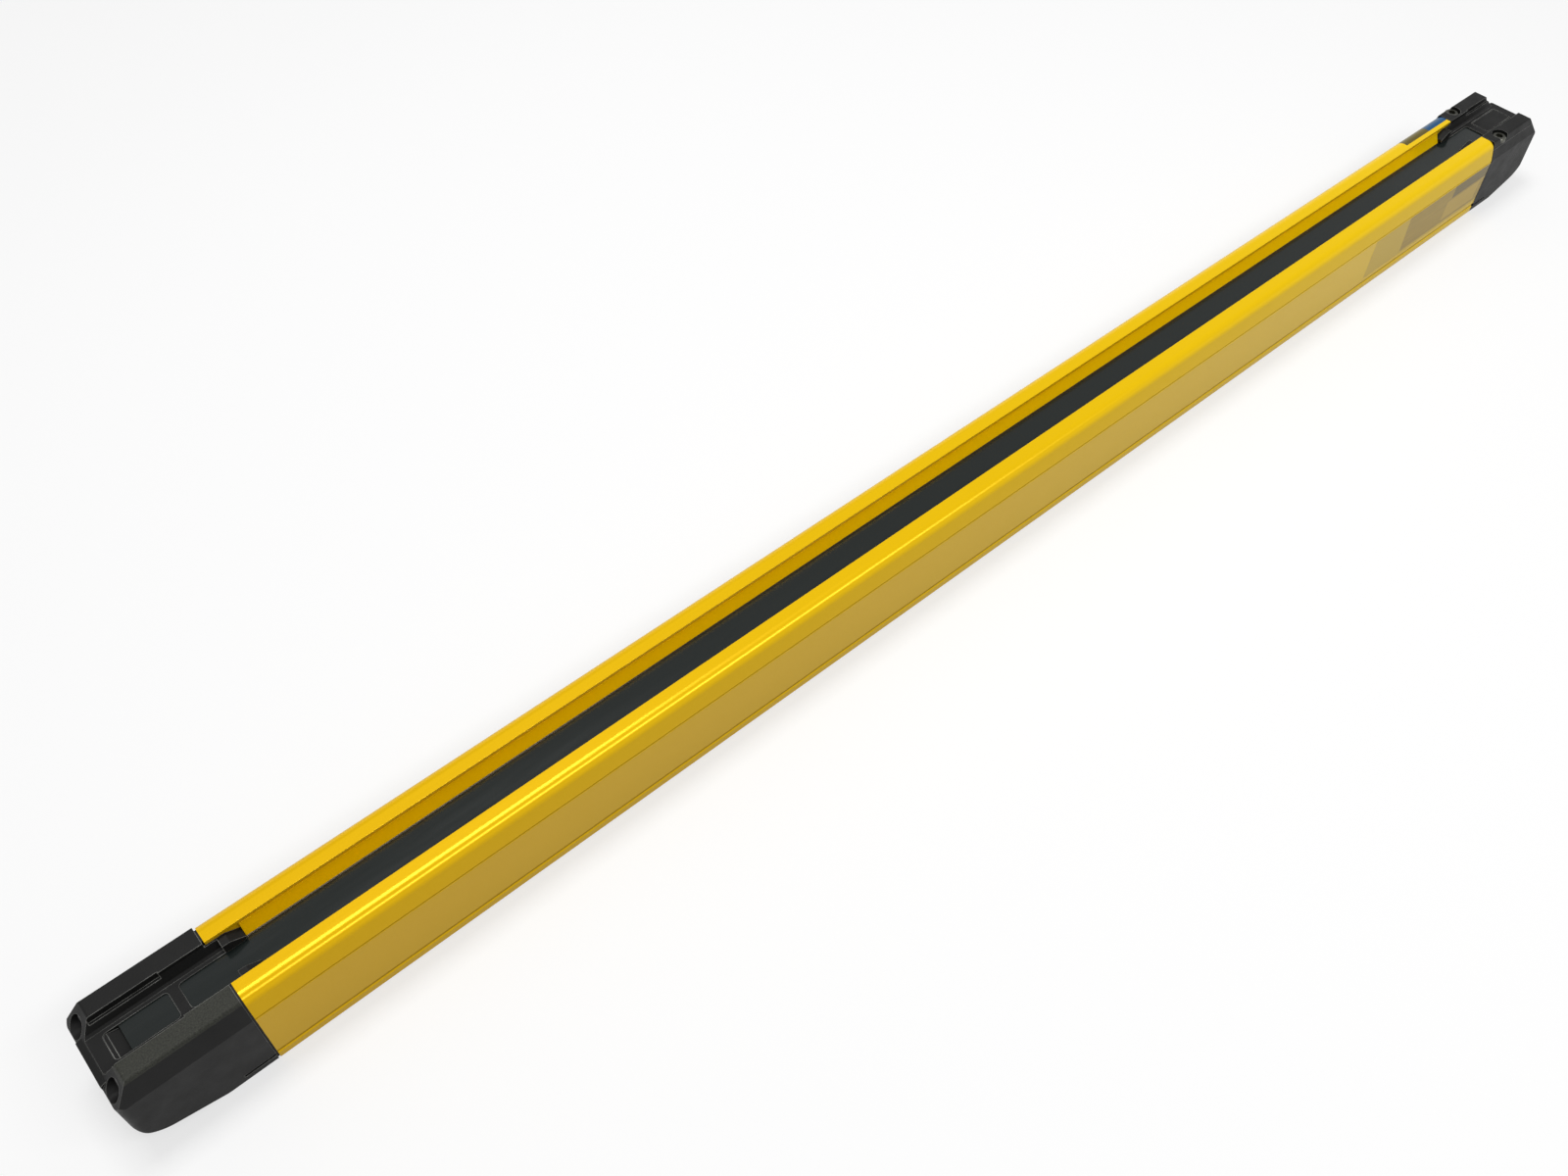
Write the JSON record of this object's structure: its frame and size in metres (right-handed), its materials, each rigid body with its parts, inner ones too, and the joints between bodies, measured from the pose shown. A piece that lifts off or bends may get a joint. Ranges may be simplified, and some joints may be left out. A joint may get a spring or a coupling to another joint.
{
  "type": "safety light curtain",
  "caption": "Slim yellow safety light curtain bar with a dark window in an open channel and black end caps, for guarding machines.",
  "frame": {"origin": "middle of the bar's flat back face, which it lies on", "axes": "+X along the bar from the cap with the indicator pane to the cap with the plain cover, +Y across the bar, +Z out of the window"},
  "size_m": [0.584, 0.028, 0.03],
  "materials": {
    "yellow_paint": "gloss",
    "smoked_window": "smooth, almost black",
    "cap_plastic": "fine texture",
    "rubber": "matte",
    "dark_steel": "blackened",
    "bright_steel": "plain",
    "socket_metal": "nickel plated",
    "contact_brass": "plated",
    "board_green": "satin",
    "clear_plastic": "clear",
    "black_plastic": "matte",
    "element_dark": "satin",
    "lamp_lens": "frosted",
    "capacitor_sleeve": "satin"
  },
  "bodies": {
    "root": {"housing_extrusion": "yellow_paint", "front_window": "smoked_window", "window_seal_left": "rubber", "window_seal_right": "rubber", "near_end_cap": "cap_plastic", "far_end_cap": "cap_plastic", "far_cap_cover": "cap_plastic", "near_cap_gasket": "rubber", "far_cap_gasket": "rubber", "near_cap_screws": "dark_steel", "far_cap_screws": "dark_steel", "cover_screws": "bright_steel", "indicator_pane": "smoked_window", "indicator_board": "board_green", "status_lamps": "lamp_lens", "light_guide": "clear_plastic", "lens_array": "clear_plastic", "beam_tunnels": "black_plastic", "photo_elements": "element_dark", "sensor_board": "board_green", "main_board": "board_green", "board_spacers": "black_plastic", "board_connector": "black_plastic", "controller_chips": "element_dark", "capacitors": "capacitor_sleeve", "cable_socket": "socket_metal", "cable_socket_seal": "rubber", "cable_socket_insert": "black_plastic", "cable_socket_contacts": "contact_brass", "link_socket": "socket_metal", "link_port_plug": "black_plastic"}
  },
  "joints": []
}
